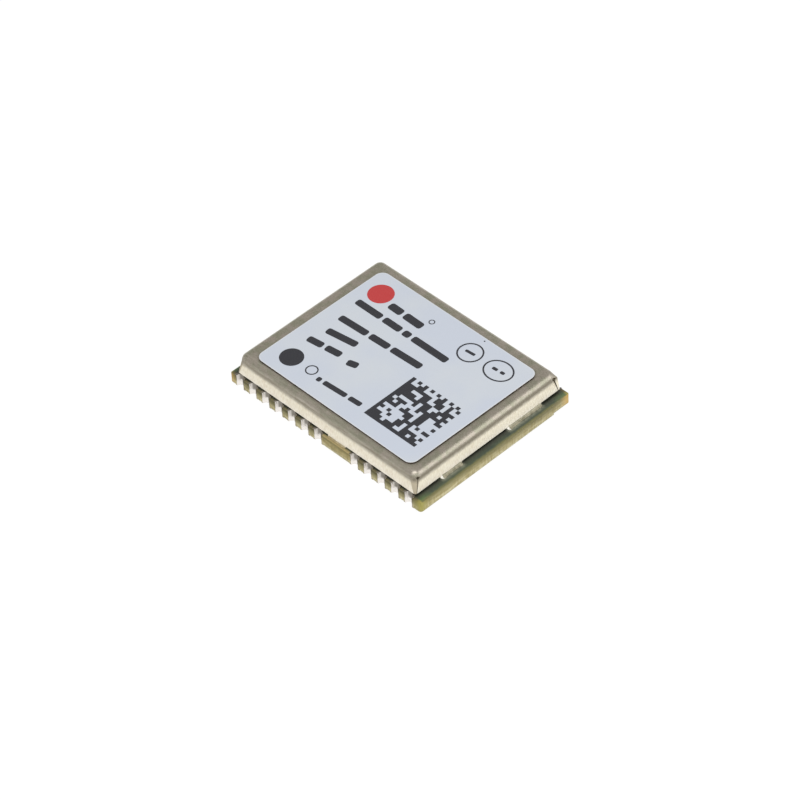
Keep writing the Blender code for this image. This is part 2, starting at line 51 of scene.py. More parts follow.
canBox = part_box("shield_can")
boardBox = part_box("circuit_board")
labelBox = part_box("label")
solderLevel = canBox[0].z
canTop = canBox[1].z
# the slack, in metres, when parts of a mesh are picked by their place
slack = 1e-6
print("frame loaded,", len(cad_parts), "nodes")


# Shader helpers

def linear(hexColour):
    # sRGB hex to the linear colour that the shaders take
    parts = [int(hexColour[i:i + 2], 16) / 255 for i in (1, 3, 5)]
    shades = [c / 12.92 if c <= 0.04045 else ((c + 0.055) / 1.055) ** 2.4 for c in parts]
    return (*shades, 1.0)


def addNode(material, kind, inputs=(), stops=(), **options):
    # one shader node: an input is a plain value, a hex colour or the output that feeds it
    tree = material.node_tree
    made = tree.nodes.new(kind)
    for option, value in options.items():
        setattr(made, option, value)
    for socket, given in dict(inputs).items():
        if isinstance(given, bpy.types.NodeSocket):
            tree.links.new(given, made.inputs[socket])
        elif isinstance(given, str):
            made.inputs[socket].default_value = linear(given)
        else:
            made.inputs[socket].default_value = given
    for i, (place, hexColour) in enumerate(stops):
        colours = made.color_ramp.elements
        stop = colours[i] if i < len(colours) else colours.new(place)
        stop.position = place
        stop.color = linear(hexColour)
    return made


def axes(material, source):
    return addNode(material, "ShaderNodeSeparateXYZ", {0: source}).outputs


def maths(material, operation, *given):
    return addNode(material, "ShaderNodeMath", enumerate(given), operation=operation).outputs[0]


def vectorMaths(material, operation, *given):
    made = addNode(material, "ShaderNodeVectorMath", enumerate(given), operation=operation)
    return made.outputs["Value" if operation in ("LENGTH", "DOT_PRODUCT") else "Vector"]


def fade(material, source, low, high, start=0.0, end=1.0, form="LINEAR"):
    # from the start value to the end value while the source goes from low to high
    return addNode(material, "ShaderNodeMapRange", {
        "Value": source, "From Min": low, "From Max": high, "To Min": start, "To Max": end},
        interpolation_type=form).outputs[0]


def between(material, along, low, high, soft):
    # 1 between two places along an axis, 0 beyond a soft edge
    away = maths(material, "SUBTRACT", along, (low + high) / 2)
    reach = maths(material, "ABSOLUTE", away)
    half = (high - low) / 2
    return fade(material, reach, half, half + soft, 1.0, 0.0)


def anyOf(material, sources):
    strongest = sources[0]
    for source in sources[1:]:
        strongest = maths(material, "MAXIMUM", strongest, source)
    return strongest


def stretch(material, place, *scale):
    # coordinates that draw a pattern out along each axis whose scale is below 1
    return addNode(material, "ShaderNodeMapping", {"Vector": place, "Scale": scale}).outputs[0]


def noise(material, place, size, detail=2.0, roughness=0.5):
    # features about this many millimetres across
    return addNode(material, "ShaderNodeTexNoise", {
        "Vector": place, "Scale": 1 / (size * mm), "Detail": detail, "Roughness": roughness,
    }).outputs["Fac"]


def ramp(material, source, *stops):
    return addNode(material, "ShaderNodeValToRGB", {0: source}, stops).outputs[0]


def mix(material, share, under, over, blend="MIX"):
    # a Mix node in colour mode has the factor in socket 0 and the two colours in 6 and 7
    return addNode(material, "ShaderNodeMix", {0: share, 6: under, 7: over}, data_type="RGBA",
                   blend_type=blend).outputs[2]


def relief(material, source, strength, depth):
    # the normals of a relief this many millimetres deep
    return addNode(material, "ShaderNodeBump", {
        "Height": source, "Strength": strength, "Distance": depth * mm}).outputs[0]


def startMaterial(name, hexColour, roughness, metallic=0.0):
    # the material, its shader, and the object coordinates that its patterns read
    material = bpy.data.materials.new(name)
    material.use_nodes = True
    shader = material.node_tree.nodes["Principled BSDF"]
    shader.inputs["Base Color"].default_value = linear(hexColour)
    shader.inputs["Roughness"].default_value = roughness
    shader.inputs["Metallic"].default_value = metallic
    place = addNode(material, "ShaderNodeTexCoord").outputs["Object"]
    return material, shader, place


def feed(material, shader, **sources):
    # links outputs to the shader by plain words
    names = {"colour": "Base Color", "roughness": "Roughness", "metallic": "Metallic",
             "normal": "Normal"}
    for word, source in sources.items():
        material.node_tree.links.new(source, shader.inputs[names[word]])


# Places that several pieces and materials share

label = {
    "halfLength": 6.475, "halfWidth": 5.16, "cornerRadius": 0.55, "cornerSteps": 16, "turn": -0.33,
    "edgeRound": 0.012, "ink": 0.006, "inkSink": 0.001,
}
inkTop = labelBox[1].z
filmTop = inkTop - label["ink"] * mm
# the ink starts a little inside the film, so no gap shows
inkFloor = filmTop - label["inkSink"] * mm
labelCentre = (labelBox[0] + labelBox[1]) / 2

# the beads at the two ends lie along Y, those at the sides along X
beadBoxes = [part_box(name) for name in sorted(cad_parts) if name.startswith("solder_fillet_")]
endBeads = sorted({(round(low.y, 5), round(high.y, 5)) for low, high in beadBoxes
                   if high.y - low.y > high.x - low.x})

# the stretch of each long side that the foot leaves free of terminals
footBay = {"middle": 1.1, "halfLength": 1.2, "fade": 0.15}


def inFootBay(material, alongX):
    # 1 in the foot's bay, 0 among the terminals
    bay = footBay
    return between(material, alongX, (bay["middle"] - bay["halfLength"]) * mm,
                   (bay["middle"] + bay["halfLength"]) * mm, bay["fade"] * mm)


def outsideLabel(material, place):
    # how far a point lies outside the label's outline, in metres, and its place on the label
    radius = label["cornerRadius"]
    straight = ((label["halfLength"] - radius) * mm, (label["halfWidth"] - radius) * mm, 1.0)
    spot = addNode(material, "ShaderNodeMapping", {
        "Vector": place, "Location": labelCentre, "Rotation": (0, 0, radians(label["turn"]))},
        vector_type="TEXTURE").outputs[0]
    folded = vectorMaths(material, "ABSOLUTE", spot)
    past = vectorMaths(material, "SUBTRACT", folded, straight)
    ahead = vectorMaths(material, "MAXIMUM", past, (0, 0, 0))
    far = vectorMaths(material, "LENGTH", ahead)
    return maths(material, "SUBTRACT", far, radius * mm), spot


# Materials

tinnedSteel = {
    "wall": "#f3eddb", "wallPink": "#eae0d0", "hem": "#fffaee", "fold": "#989284",
    "upper": "#c4beb4", "upperGreen": "#b5b5a5", "corner": "#b8ae98", "labelShade": "#5b504b",
    "rubbed": "#e2dccf", "dullFrom": 1.52, "dullTo": 1.88, "foldFrom": 1.94, "foldTo": 2.12,
    "hemTo": 1.35, "mottle": 0.22, "tint": 0.6, "grit": 0.05, "draw": 0.04, "rub": 0.11,
    "bump": 0.0035, "labelShadeReach": 0.17, "marginFrom": 5.15, "marginTo": 5.4,
}


def makeTinnedSteel():
    # Electrolytic tinplate, stamped. The die has rubbed the drawn walls to a matt, nearly white
    # tin with faint upright draw marks, painted paler towards the hem as a painted reflection of
    # the white floor. The top and the bends keep a darker, smoother skin with a mottle; the drawn
    # corners are painted darker as shade, and a dark band is painted along the fold as shade.
    look = tinnedSteel
    material, shader, place = startMaterial("Tinned steel, stamped", look["wall"], 0.35, 1.0)
    height = axes(material, place)["Z"]
    cloud = noise(material, place, look["mottle"], 5.0, 0.62)
    grit = noise(material, place, look["grit"], 3.0, 0.7)
    draw = noise(material, stretch(material, place, 1.0, 1.0, 0.12), look["draw"], 3.0)
    ragged = maths(material, "MULTIPLY_ADD", cloud, 0.18 * mm, -0.09 * mm)
    level = maths(material, "ADD", height, ragged)
    dull = fade(material, level, look["dullFrom"] * mm, look["dullTo"] * mm, form="SMOOTHSTEP")
    # the drawn corner is where the surface faces X and Y alike
    facing = axes(material, place.node.outputs["Normal"])
    both = maths(material, "MULTIPLY", facing["X"], facing["Y"])
    turned = maths(material, "ABSOLUTE", both)
    corner = fade(material, turned, 0.05, 0.3, form="SMOOTHSTEP")
    wall = ramp(material, cloud, (0.30, look["wallPink"]), (0.44, look["wall"]),
                (0.70, look["wall"]))
    marks = ramp(material, draw, (0.34, "#ece8e0"), (0.56, "#ffffff"))
    # the walls are painted paler towards the hem, a painted reflection of the white floor
    low = fade(material, height, solderLevel, look["hemTo"] * mm)
    palest = mix(material, low, look["hem"], wall)
    drawn = mix(material, 1.0, palest, marks, "MULTIPLY")
    # the drawn corners are painted darker, a painted shade on their curve
    side = mix(material, corner, drawn, look["corner"])
    # above the walls: a dark band painted along the fold as a painted dark reflection, then the top in
    # two tints
    folded = fade(material, level, look["foldFrom"] * mm, look["foldTo"] * mm, form="SMOOTHSTEP")
    patch = noise(material, place, look["tint"], 4.0)
    tinted = ramp(material, patch, (0.42, look["upper"]), (0.58, look["upperGreen"]))
    clean = mix(material, folded, look["fold"], tinted)
    # a painted shadow of the label along its edges, strongest beside the two that face +X and -Y
    outside, spot = outsideLabel(material, place)
    labelShadowSide = vectorMaths(material, "DOT_PRODUCT", spot, (1.0, -1.2, 0.0))
    sided = fade(material, labelShadowSide, -3.0 * mm, 1.0 * mm, 0.12, 0.42)
    close = fade(material, outside, 0.0, look["labelShadeReach"] * mm, 1.0, 0.0)
    labelShadeShare = maths(material, "MULTIPLY", sided, close)
    skin = mix(material, labelShadeShare, clean, look["labelShade"])
    mottle = ramp(material, grit, (0.34, "#bdb6ac"), (0.52, "#ece9e4"), (0.7, "#ffffff"))
    worn = mix(material, 0.8, skin, mottle, "MULTIPLY")
    # paler rub marks along the two long margins
    comb = noise(material, stretch(material, place, 0.09, 1.0, 1.0), look["rub"], 3.0)
    rubs = fade(material, comb, 0.42, 0.66, 0.0, 0.2)
    awayY = maths(material, "ABSOLUTE", axes(material, place)["Y"])
    margin = fade(material, awayY, look["marginFrom"] * mm, look["marginTo"] * mm)
    rubbing = maths(material, "MULTIPLY", rubs, margin)
    upper = mix(material, rubbing, worn, look["rubbed"])
    colour = mix(material, dull, side, upper)
    # the walls are matt tin, the corners a little rougher than the rest
    rough = fade(material, cloud, 0.0, 1.0, 0.28, 0.44)
    drawnMatt = maths(material, "MULTIPLY_ADD", corner, 0.24, rough)
    matt = fade(material, dull, 0.0, 1.0, 0.2, 0.0)
    roughness = maths(material, "ADD", drawnMatt, matt)
    metal = fade(material, dull, 0.0, 1.0, 0.08, 1.0)
    feed(material, shader, colour=colour, roughness=roughness, metallic=metal,
         normal=relief(material, grit, 0.3, look["bump"]))
    return material


shearedSteel = {"burnish": "#c9c0a9", "tear": "#8d8470", "lines": 0.18, "bump": 0.004}


def makeShearedSteel():
    # The cut edge of the same sheet: bare steel, darker and matt, with fine lines along the shear
    look = shearedSteel
    material, shader, place = startMaterial("Sheared steel edge", look["tear"], 0.5, 1.0)
    lines = noise(material, stretch(material, place, 1.0, 1.0, 6.0), look["lines"], 4.0)
    colour = ramp(material, lines, (0.35, look["tear"]), (0.62, look["burnish"]))
    feed(material, shader, colour=colour, normal=relief(material, lines, 0.4, look["bump"]))
    return material


levelledTin = {"bright": "#ece7e1", "grey": "#8a857d", "patch": 0.22, "bump": 0.002,
               "greyFrom": 0.26, "greyTo": 0.54}


def makeLevelledTin():
    # Hot-air levelled tin over copper: very bright, with a soft skin. The upper half of each
    # half hole is painted greyer, a painted shade and dark reflection under the can, but for the side
    # that faces +X.
    look = levelledTin
    material, shader, place = startMaterial("Hot-air levelled tin", look["bright"], 0.25, 1.0)
    patch = noise(material, place, look["patch"])
    ragged = maths(material, "MULTIPLY_ADD", patch, 0.5 * mm, -0.25 * mm)
    level = maths(material, "ADD", axes(material, place)["Z"], ragged)
    # painted shade and dark reflection on the upper half, not on the side facing +X
    high = fade(material, level, look["greyFrom"] * mm, look["greyTo"] * mm, form="SMOOTHSTEP")
    turned = axes(material, place.node.outputs["Normal"])["X"]
    tinShadeSide = fade(material, turned, 0.6, 0.97, 1.0, 0.0)
    tinShade = maths(material, "MULTIPLY", high, tinShadeSide)
    colour = mix(material, tinShade, look["bright"], look["grey"])
    rough = fade(material, tinShade, 0.0, 1.0, 0.2, 0.42)
    feed(material, shader, colour=colour, roughness=rough,
         normal=relief(material, patch, 0.4, look["bump"]))
    return material


reflowedSolder = {"bright": "#aea994", "grey": "#8b8873", "tan": "#c4b795", "tanDark": "#a89873",
                  "poolHighlight": "#efeee6", "poolHighlightLength": 0.11, "ripple": 0.25, "bump": 0.002}


def makeReflowedSolder(name, darkHex, paleHex):
    # Lead-free solder from the oven: silver-grey, slightly grainy, with a painted highlight at the
    # start of each end bead
    look = reflowedSolder
    material, shader, place = startMaterial(name, paleHex, 0.45, 0.4)
    ripple = noise(material, place, look["ripple"], 4.0)
    skin = ramp(material, ripple, (0.36, darkHex), (0.6, paleHex))
    along = axes(material, place)["Y"]
    # a painted highlight at the start of each end bead
    poolHighlightShare = anyOf(material, [
        between(material, along, low, low + look["poolHighlightLength"] * mm, 0.04 * mm)
        for low, _ in endBeads])
    colour = mix(material, poolHighlightShare, skin, look["poolHighlight"])
    feed(material, shader, colour=colour, normal=relief(material, ripple, 0.6, look["bump"]))
    return material


solderMask = {
    "green": "#424f43", "pale": "#505c46", "clear": "#647c4c", "olive": "#777349",
    "bare": "#ab9a6b", "toothTopShade": "#847a54", "corner": "#9c9450", "canShadow": "#24241e",
    "wetted": "#8f9280", "oliveMargin": 0.22, "bareMargin": 0.17, "cornerMargin": 0.45,
    "canShadowReach": 0.42, "ragged": 0.12, "wave": 0.25, "cloth": 0.45, "cloud": 1.6, "bump": 0.006,
}


def makeSolderMask():
    # Olive-green solder mask over laminate, with the glass cloth showing faintly through it. It
    # thins out towards both ends and stops short of the long sides, where the tan laminate is
    # bare, painted darker brown between the terminals as shade. A nearly black shadow of the can
    # is painted along the can.
    look = solderMask
    material, shader, place = startMaterial("Solder mask on laminate", look["green"], 0.32)
    parts = axes(material, place)
    # a wave makes every margin ragged, by half of this either way
    ragged = look["ragged"] * mm
    shift = ragged / 2
    wave = noise(material, place, look["wave"], 3.0)
    reachX = maths(material, "ABSOLUTE", parts["X"])
    reachY = maths(material, "ABSOLUTE", parts["Y"])
    shakenX = maths(material, "MULTIPLY_ADD", wave, ragged, reachX)
    shakenY = maths(material, "MULTIPLY_ADD", wave, ragged, reachY)
    end = boardBox[1].x + shift
    thin = fade(material, shakenX, end - look["oliveMargin"] * mm, end, form="SMOOTHSTEP")
    side = boardBox[1].y + shift - look["bareMargin"] * mm
    bare = fade(material, shakenY, side - 0.06 * mm, side + 0.06 * mm)
    # how far a point lies outside the can, whichever wall is nearer
    beyondX = maths(material, "SUBTRACT", shakenX, canBox[1].x + ragged)
    beyondY = maths(material, "SUBTRACT", shakenY, canBox[1].y)
    beyond = maths(material, "MAXIMUM", beyondX, beyondY)
    # a nearly black painted shadow of the can on the mask, fading outwards
    canShadowFade = fade(material, beyond, -0.02 * mm, look["canShadowReach"] * mm, 0.9, 0.0)
    # only on the face that carries the can, and hardly in the foot's bay
    bay = inFootBay(material, parts["X"])
    openY = fade(material, beyondY, -0.02 * mm, 0.05 * mm)
    openBay = maths(material, "MULTIPLY", bay, openY)
    canShadowWeight = fade(material, openBay, 0.0, 1.0, 1.0, 0.15)
    faces = axes(material, place.node.outputs["Normal"])["Z"]
    above = maths(material, "GREATER_THAN", faces, 0.0)
    share = maths(material, "MULTIPLY", canShadowWeight, above)
    canShadow = maths(material, "MULTIPLY", canShadowFade, share)
    cloud = noise(material, place, look["cloud"], 3.0)
    even = ramp(material, cloud, (0.36, look["green"]), (0.64, look["pale"]))
    # the mask is thin, and so a clearer green, at the corners
    towardsX = fade(material, shakenX, boardBox[1].x - 0.75 * mm, boardBox[1].x - 0.2 * mm)
    towardsY = fade(material, shakenY, boardBox[1].y - 1.1 * mm, boardBox[1].y - 0.3 * mm,
                    0.0, 0.85)
    atCorner = maths(material, "MULTIPLY", towardsX, towardsY)
    masked = mix(material, atCorner, even, look["clear"])
    thinned = mix(material, thin, masked, look["olive"])
    # between the terminals the bare laminate is painted darker, a painted shade from the can
    tan = mix(material, bay, look["toothTopShade"], look["bare"])
    cornerStart = end - look["cornerMargin"] * mm
    outer = fade(material, shakenX, cornerStart, cornerStart + 0.15 * mm)
    edging = mix(material, outer, tan, look["corner"])
    bared = mix(material, bare, thinned, edging)
    canShadowed = mix(material, canShadow, bared, look["canShadow"])
    # a thin tongue of solder has wetted the mask in front of each bead at the ends
    beside = anyOf(material, [
        between(material, parts["Y"], low + 0.1 * mm, high - 0.1 * mm, 0.25 * mm)
        for low, high in endBeads])
    tongue = fade(material, beyondX, 0.14 * mm, 0.36 * mm, 0.9, 0.0)
    wet = maths(material, "MULTIPLY", beside, tongue)
    patchy = fade(material, wave, 0.35, 0.6, 0.45, 1.0)
    thinly = maths(material, "MULTIPLY", wet, patchy)
    wetted = maths(material, "MULTIPLY", thinly, above)
    colour = mix(material, wetted, canShadowed, look["wetted"])
    # two crossed sets of bands for the threads; 20 is this texture's own factor
    warp, weft = [addNode(material, "ShaderNodeTexWave", {
        "Vector": place, "Scale": 1 / (20 * look["cloth"] * mm), "Distortion": 1.5, "Detail": 1.0},
        bands_direction=axis).outputs["Fac"] for axis in ("X", "Y")]
    cloth = maths(material, "ADD", warp, weft)
    rough = fade(material, bare, 0.0, 1.0, 0.32, 0.62)
    feed(material, shader, colour=colour, roughness=rough,
         normal=relief(material, cloth, 0.25, look["bump"]))
    return material


sawnLaminate = {
    "resin": "#ada375", "pale": "#cdc6a0", "burr": "#8f865a", "topShade": "#69663a",
    "gold": "#c9a456", "olive": "#a19a4f", "toothSideShade": "#a09d7a", "yellowed": "#f2e9d2",
    "streak": 0.12, "layer": 0.18, "bump": 0.008,
}


def makeSawnLaminate():
    # Glass-cloth laminate, cut by a router and a saw: pale olive, with upright tool streaks, the
    # layers of cloth as faint level lines, and painted darker towards the upper edge as shade.
    look = sawnLaminate
    material, shader, place = startMaterial("Cut glass laminate", look["resin"], 0.62)
    parts = axes(material, place)
    streak = noise(material, stretch(material, place, 1.0, 1.0, 0.16), look["streak"], 4.0, 0.6)
    layer = noise(material, stretch(material, place, 0.2, 0.2, 1.0), look["layer"])
    streaked = maths(material, "MULTIPLY", streak, 0.65)
    both = maths(material, "MULTIPLY_ADD", layer, 0.5, streaked)
    cut = ramp(material, both, (0.38, look["burr"]), (0.52, look["resin"]), (0.68, look["pale"]))
    ragged = maths(material, "MULTIPLY_ADD", streak, 0.3 * mm, -0.15 * mm)
    level = maths(material, "ADD", parts["Z"], ragged)
    # the sides are painted darker towards the upper edge, a painted shade
    topShade = fade(material, level, 0.3 * mm, 0.82 * mm, 0.0, 0.9)
    topShaded = mix(material, topShade, cut, look["topShade"])
    # the teeth between the terminals are painted darker still as shade, most at the top
    turned = axes(material, place.node.outputs["Normal"])["Y"]
    faces = maths(material, "ABSOLUTE", turned)
    outside = maths(material, "SUBTRACT", 1.0, inFootBay(material, parts["X"]))
    teeth = maths(material, "MULTIPLY", faces, outside)
    upper = fade(material, level, 0.25 * mm, 0.72 * mm)
    toothShading = maths(material, "MULTIPLY", teeth, upper)
    toothShaded = mix(material, toothShading, topShaded, look["toothSideShade"], "MULTIPLY")
    # elsewhere the resin has yellowed; the lowest layer is left out and stays paler, a painted light
    # from the white floor
    above = fade(material, level, 0.17 * mm, 0.4 * mm)
    plain = maths(material, "SUBTRACT", 1.0, teeth)
    sided = fade(material, faces, 0.0, 1.0, 0.4, 1.0)
    exposed = maths(material, "MULTIPLY", plain, sided)
    yellowing = maths(material, "MULTIPLY", exposed, above)
    yellowed = mix(material, yellowing, toothShaded, look["yellowed"], "MULTIPLY")
    # resin gone golden or olive at the corners
    nearX, nearY = [
        fade(material, maths(material, "ABSOLUTE", parts[axis]), half - 0.7 * mm, half - 0.15 * mm)
        for axis, half in (("X", boardBox[1].x), ("Y", boardBox[1].y))]
    near = maths(material, "MULTIPLY", nearX, nearY)
    share = maths(material, "MULTIPLY", near, 0.8)
    across = maths(material, "MULTIPLY", parts["X"], parts["Y"])
    golden = maths(material, "GREATER_THAN", across, 0.0)
    tint = mix(material, golden, look["olive"], look["gold"])
    colour = mix(material, share, yellowed, tint)
    feed(material, shader, colour=colour, normal=relief(material, both, 0.4, look["bump"]))
    return material


labelFilm = {"face": "#d1d8e1", "cool": "#ccd4e2", "rim": "#e3e6ea", "edge": "#463a31",
             "labelShade": "#85766a", "cloud": 4.0, "tooth": 0.03, "rimWidth": 0.09, "bump": 0.002}


def makeLabelFilm():
    # Matt top-coated polyester film, pale blue-grey, with a barely uneven coating and a painted
    # highlight a little paler along the cut edge
    look = labelFilm
    material, shader, place = startMaterial("Polyester label film", look["face"], 0.42)
    cloud = noise(material, place, look["cloud"], 3.0)
    even = ramp(material, cloud, (0.38, look["face"]), (0.62, look["cool"]))
    outside, _ = outsideLabel(material, place)
    # a painted highlight along the label's edge
    rim = fade(material, outside, -look["rimWidth"] * mm, -0.02 * mm, 0.0, 0.7)
    colour = mix(material, rim, even, look["rim"])
    tooth = noise(material, place, look["tooth"])
    feed(material, shader, colour=colour, normal=relief(material, tooth, 0.12, look["bump"]))
    return material


def makeFilmEdge():
    # The cut side of the label, painted dark brown as the label's contact shadow
    look = labelFilm
    material, shader, place = startMaterial("Label edge, painted shadow", look["edge"], 0.7)
    labelShade = noise(material, place, 0.2, 4.0)
    feed(material, shader, colour=ramp(material, labelShade, (0.45, look["edge"]), (0.7, look["labelShade"])))
    return material


def makePrintInk(name, hexColour, paleColour):
    # Resin ink from a thermal ribbon: nearly even, a little thin in specks
    material, shader, place = startMaterial(name, hexColour, 0.5)
    specks = noise(material, place, 0.05, 3.0)
    feed(material, shader, colour=ramp(material, specks, (0.55, hexColour), (0.8, paleColour)))
    return material


def makeGranular(name, darkHex, paleHex, roughness, size, depth, metallic=0.0):
    # moulded, sintered or fired stuff: two shades in an even grain, and its fine relief
    material, shader, place = startMaterial(name, darkHex, roughness, metallic)
    specks = noise(material, place, size, 4.0)
    colour = ramp(material, specks, (0.4, darkHex), (0.66, paleHex))
    feed(material, shader, colour=colour, normal=relief(material, specks, 0.5, depth))
    return material


steel = makeTinnedSteel()
steelEdge = makeShearedSteel()
tin = makeLevelledTin()
solder = makeReflowedSolder("Reflowed solder", reflowedSolder["grey"], reflowedSolder["bright"])
# the same solder where a film of flux has dried tan over it
fluxedSolder = makeReflowedSolder("Reflowed solder under flux", reflowedSolder["tanDark"],
                                  reflowedSolder["tan"])
mask = makeSolderMask()
laminate = makeSawnLaminate()
film = makeLabelFilm()
filmEdge = makeFilmEdge()
ink = makePrintInk("Black ribbon resin", "#2a2b32", "#4a4c55")
redInk = makePrintInk("Red label ink", "#c33a3c", "#cf5a55")
# filled epoxy moulding compound: matt black with a fine grey grain
epoxy = makeGranular("Moulded epoxy", "#1d1d20", "#34343a", 0.55, 0.05, 0.004)
# nickel-plated lids: pale warm metal, almost smooth
lid = makeGranular("Nickel-plated lid", "#b9b09c", "#d8d0bd", 0.28, 0.3, 0.003, 1.0)
# pressed and sintered ferrite: dark, dull and grainy
ferrite = makeGranular("Sintered ferrite", "#2a2a2d", "#46464a", 0.7, 0.04, 0.006)
# fired barium titanate: warm tan, dense
capacitorBody = makeGranular("Fired capacitor ceramic", "#7d5f42", "#94735a", 0.5, 0.06, 0.002)
# glass glaze over a resistor film: black and glossy
resistorBody = makeGranular("Resistor glaze", "#17171b", "#2a2a30", 0.3, 0.08, 0.002)
print("materials made,", len(bpy.data.materials))


# Modelling helpers

def deselect():
    bpy.ops.object.select_all(action="DESELECT")


def addCube(name, low, high):
    # a cube between two corners, with its place in its mesh
    deselect()
    middle = [(a + b) / 2 for a, b in zip(low, high)]
    size = [b - a for a, b in zip(low, high)]
    bpy.ops.mesh.primitive_cube_add(size=1, location=middle, scale=size)
    bpy.ops.object.transform_apply(location=True, rotation=True, scale=True)
    piece = bpy.context.object
    piece.name = name
    return piece


def addDisc(name, centre, radius, depth, corners=64):
    deselect()
    bpy.ops.mesh.primitive_cylinder_add(vertices=corners, radius=radius, depth=depth,
                                        location=centre)
    bpy.ops.object.transform_apply(location=True, rotation=True, scale=True)
    piece = bpy.context.object
    piece.name = name
    return piece


def openEdit(piece, kind, test):
    # edit mode with just those vertices, edges or faces selected that pass the test
    deselect()
    piece.select_set(True)
    bpy.context.view_layer.objects.active = piece
    bpy.ops.object.mode_set(mode="EDIT")
    bpy.ops.mesh.select_mode(type=kind)
    bpy.ops.mesh.select_all(action="DESELECT")
    bpy.ops.object.mode_set(mode="OBJECT")
    mesh = piece.data
    parts = {"VERT": mesh.vertices, "EDGE": mesh.edges, "FACE": mesh.polygons}[kind]
    for part in parts:
        if kind == "EDGE":
            part.select = test(*[mesh.vertices[i].co for i in part.vertices])
        else:
            part.select = test(part)
    bpy.ops.object.mode_set(mode="EDIT")


def closeEdit():
    bpy.ops.object.mode_set(mode="OBJECT")


def applyModifier(piece, kind, **options):
    modifier = piece.modifiers.new(kind.lower(), kind)
    for option, value in options.items():
        setattr(modifier, option, value)
    deselect()
    piece.select_set(True)
    bpy.context.view_layer.objects.active = piece
    bpy.ops.object.modifier_apply(modifier=modifier.name)


def cutAway(piece, cutter):
    # the cut faces take the cutter's material
    applyModifier(piece, "BOOLEAN", operation="DIFFERENCE", solver="EXACT", object=cutter,
                  material_mode="TRANSFER")
    bpy.data.objects.remove(cutter)


def joinPieces(name, pieces):
    deselect()
    for piece in pieces:
        piece.select_set(True)
    bpy.context.view_layer.objects.active = pieces[0]
    if len(pieces) > 1:
        bpy.ops.object.join()
    pieces[0].name = name
    return pieces[0]


def smooth(piece, degrees):
    deselect()
    piece.select_set(True)
    bpy.context.view_layer.objects.active = piece
    bpy.ops.object.shade_smooth_by_angle(angle=radians(degrees))


def weighNormals(piece):
    # keeps flat faces flat beside the round ones
    applyModifier(piece, "WEIGHTED_NORMAL", keep_sharp=True, weight=50)


def finishPiece(piece, slotName, *nodeNames):
    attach(piece, "root")
    if nodeNames:
        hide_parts(*nodeNames)


def paint(piece, *materials):
    piece.data.materials.clear()
    for material in materials:
        piece.data.materials.append(material)


def copyNode(nodeName, pieceName):
    # a welded copy of a CAD node with its flat faces whole again
    piece = bpy.data.objects.new(pieceName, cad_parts[nodeName].data.copy())
    bpy.context.scene.collection.objects.link(piece)
    openEdit(piece, "FACE", lambda face: True)
    bpy.ops.mesh.remove_doubles(threshold=1e-7)
    bpy.ops.mesh.dissolve_limited(angle_limit=radians(0.5))
    bpy.ops.mesh.normals_make_consistent(inside=False)
    closeEdit()
    return piece


# Shield can: an outer and an inner skin joined at the hem, then the cuts

can = {
    "sheet": 0.2, "bendRadius": 0.45, "cornerRadius": 0.5, "hemCorner": 0.14,
    "innerHemCorner": 0.05, "cornerSteps": 10, "bendSteps": 12, "windowHeight": 0.1,
    "sideFoot": (0.275, 1.725), "endFeet": ((-3.925, -2.175), (1.475, 4.325)),
    "slitWidth": 0.04, "slitTopInset": 0.3, "slitHemInset": 0.11, "reliefRadius": 0.09,
    "reliefRise": 0.03, "flare": 0.1, "tabStep": 0.16, "tabFade": 0.25,
}
bendHalf = (canBox[1].x - can["flare"] * mm, canBox[1].y - can["flare"] * mm)


def canSkin(name, inset, cornerRadius, hemCorner, bendRadius):
    x = bendHalf[0] - inset
    y = bendHalf[1] - inset
    top = canTop - inset
    skin = addCube(name, (-x, -y, solderLevel), (x, y, top))
    openEdit(skin, "FACE", lambda face: face.normal.z < -0.9)
    bpy.ops.mesh.delete(type="FACE")
    closeEdit()
    openEdit(skin, "EDGE", lambda a, b: abs(a.z - b.z) > 0.5 * (top - solderLevel))
    bpy.ops.mesh.bevel(offset=cornerRadius, segments=can["cornerSteps"], affect="EDGES",
                       clamp_overlap=False)
    closeEdit()
    openEdit(skin, "EDGE", lambda a, b: min(a.z, b.z) > top - slack)
    bpy.ops.mesh.bevel(offset=bendRadius, segments=can["bendSteps"], affect="EDGES",
                       clamp_overlap=False)
    closeEdit()
    # the round corner tightens towards the hem, and the walls lean out
    flare = can["flare"] * mm
    for sideX in (-1, 1):
        for sideY in (-1, 1):
            openEdit(skin, "VERT", lambda v: v.co.z < solderLevel + slack
                     and sideX * v.co.x > x - cornerRadius - slack
                     and sideY * v.co.y > y - cornerRadius - slack)
            share = hemCorner / cornerRadius
            bpy.ops.transform.resize(value=(share, share, 1),
                                     center_override=(sideX * x, sideY * y, solderLevel))
            bpy.ops.transform.translate(value=(sideX * flare, sideY * flare, 0))
            closeEdit()
    return skin


